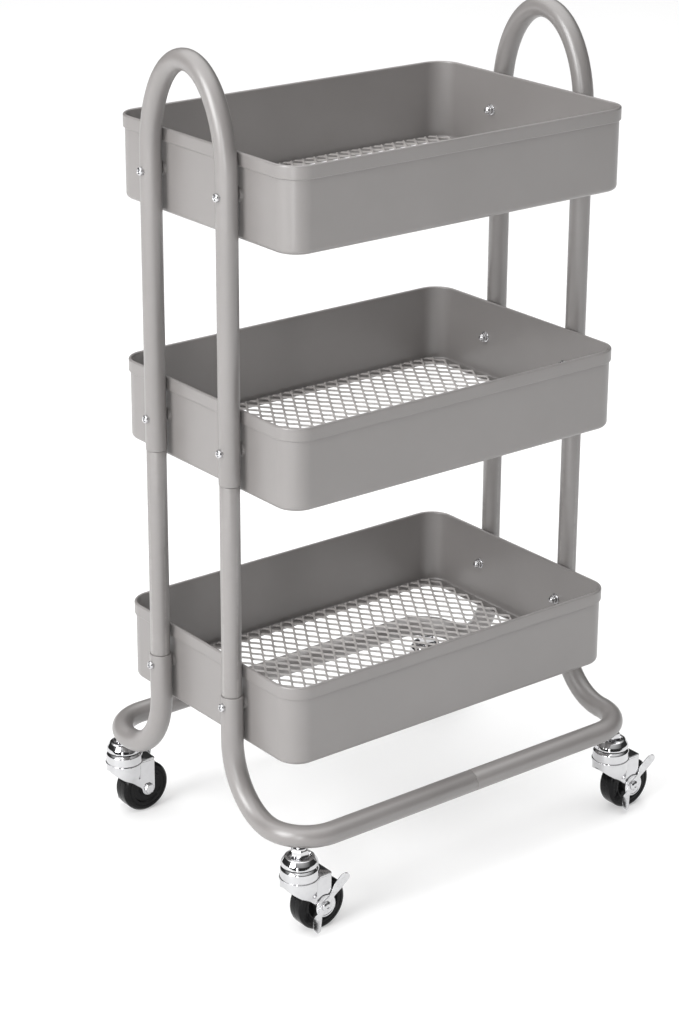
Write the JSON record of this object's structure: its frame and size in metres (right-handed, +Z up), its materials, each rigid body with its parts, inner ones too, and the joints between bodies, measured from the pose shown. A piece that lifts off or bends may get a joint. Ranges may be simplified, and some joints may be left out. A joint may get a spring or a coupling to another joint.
{
  "type": "rolling utility cart",
  "caption": "Rolling utility cart: three deep rounded trays with expanded-mesh floors in a bent-tube frame with hoop handles, on swivel casters with brakes.",
  "frame": {"origin": "on the floor, under the middle of the trays", "axes": "+X along the long side of the trays towards the right handle, +Y towards the rear, +Z up"},
  "size_m": [0.4183, 0.303, 0.724],
  "materials": {
    "paint": "warm grey satin powder coat",
    "chrome": "bright chrome plating",
    "steel": "bright zinc-plated steel",
    "wheel_black": "glossy black moulded plastic"
  },
  "bodies": {
    "cart": {"tray_top": "paint", "mesh_floor_top": "paint", "tray_middle": "paint", "mesh_floor_middle": "paint", "tray_bottom": "paint", "mesh_floor_bottom": "paint", "handle_left": "paint", "handle_right": "paint", "mid_post_front_left": "paint", "base_leg_front_left": "paint", "screw_top_front_left": "steel", "nut_top_front_left": "steel", "screw_middle_front_left": "steel", "nut_middle_front_left": "steel", "screw_bottom_front_left": "steel", "nut_bottom_front_left": "steel", "caster_stem_front_left": "chrome", "mid_post_rear_left": "paint", "base_leg_rear_left": "paint", "screw_top_rear_left": "steel", "nut_top_rear_left": "steel", "screw_middle_rear_left": "steel", "nut_middle_rear_left": "steel", "screw_bottom_rear_left": "steel", "nut_bottom_rear_left": "steel", "caster_stem_rear_left": "chrome", "mid_post_front_right": "paint", "base_leg_front_right": "paint", "screw_top_front_right": "steel", "nut_top_front_right": "steel", "screw_middle_front_right": "steel", "nut_middle_front_right": "steel", "screw_bottom_front_right": "steel", "nut_bottom_front_right": "steel", "caster_stem_front_right": "chrome", "mid_post_rear_right": "paint", "base_leg_rear_right": "paint", "screw_top_rear_right": "steel", "nut_top_rear_right": "steel", "screw_middle_rear_right": "steel", "nut_middle_rear_right": "steel", "screw_bottom_rear_right": "steel", "nut_bottom_rear_right": "steel", "caster_stem_rear_right": "chrome"},
    "caster_front_left": {"caster_fork_front_left": "chrome", "caster_axle_front_left": "steel"},
    "wheel_front_left": {"caster_wheel_front_left": "wheel_black"},
    "brake_front_left": {"brake_lever_front_left": "steel"},
    "caster_rear_left": {"caster_fork_rear_left": "chrome", "caster_axle_rear_left": "steel"},
    "wheel_rear_left": {"caster_wheel_rear_left": "wheel_black"},
    "brake_rear_left": {"brake_lever_rear_left": "steel"},
    "caster_front_right": {"caster_fork_front_right": "chrome", "caster_axle_front_right": "steel"},
    "wheel_front_right": {"caster_wheel_front_right": "wheel_black"},
    "brake_front_right": {"brake_lever_front_right": "steel"},
    "caster_rear_right": {"caster_fork_rear_right": "chrome", "caster_axle_rear_right": "steel"},
    "wheel_rear_right": {"caster_wheel_rear_right": "wheel_black"},
    "brake_rear_right": {"brake_lever_rear_right": "steel"}
  },
  "joints": [
    {"name": "swivel_front_left", "type": "hinge", "parent": "cart", "child": "caster_front_left", "pos_m": [-0.17676, -0.13116, 0.06], "axis": [0, 0, 1], "continuous": true},
    {"name": "roll_front_left", "type": "hinge", "parent": "caster_front_left", "child": "wheel_front_left", "pos_m": [-0.15876, -0.13116, 0.0235], "axis": [0, 1, 0], "continuous": true},
    {"name": "brake_press_front_left", "type": "hinge", "parent": "caster_front_left", "child": "brake_front_left", "pos_m": [-0.15876, -0.13116, 0.0235], "axis": [0, 1, 0], "range_deg": [0, 25]},
    {"name": "swivel_rear_left", "type": "hinge", "parent": "cart", "child": "caster_rear_left", "pos_m": [-0.17676, 0.13116, 0.06], "axis": [0, 0, 1], "continuous": true},
    {"name": "roll_rear_left", "type": "hinge", "parent": "caster_rear_left", "child": "wheel_rear_left", "pos_m": [-0.15876, 0.13116, 0.0235], "axis": [0, 1, 0], "continuous": true},
    {"name": "brake_press_rear_left", "type": "hinge", "parent": "caster_rear_left", "child": "brake_rear_left", "pos_m": [-0.15876, 0.13116, 0.0235], "axis": [0, 1, 0], "range_deg": [0, 25]},
    {"name": "swivel_front_right", "type": "hinge", "parent": "cart", "child": "caster_front_right", "pos_m": [0.17676, -0.13116, 0.06], "axis": [0, 0, 1], "continuous": true},
    {"name": "roll_front_right", "type": "hinge", "parent": "caster_front_right", "child": "wheel_front_right", "pos_m": [0.19476, -0.13116, 0.0235], "axis": [0, 1, 0], "continuous": true},
    {"name": "brake_press_front_right", "type": "hinge", "parent": "caster_front_right", "child": "brake_front_right", "pos_m": [0.19476, -0.13116, 0.0235], "axis": [0, 1, 0], "range_deg": [0, 25]},
    {"name": "swivel_rear_right", "type": "hinge", "parent": "cart", "child": "caster_rear_right", "pos_m": [0.17676, 0.13116, 0.06], "axis": [0, 0, 1], "continuous": true},
    {"name": "roll_rear_right", "type": "hinge", "parent": "caster_rear_right", "child": "wheel_rear_right", "pos_m": [0.19476, 0.13116, 0.0235], "axis": [0, 1, 0], "continuous": true},
    {"name": "brake_press_rear_right", "type": "hinge", "parent": "caster_rear_right", "child": "brake_rear_right", "pos_m": [0.19476, 0.13116, 0.0235], "axis": [0, 1, 0], "range_deg": [0, 25]}
  ]
}
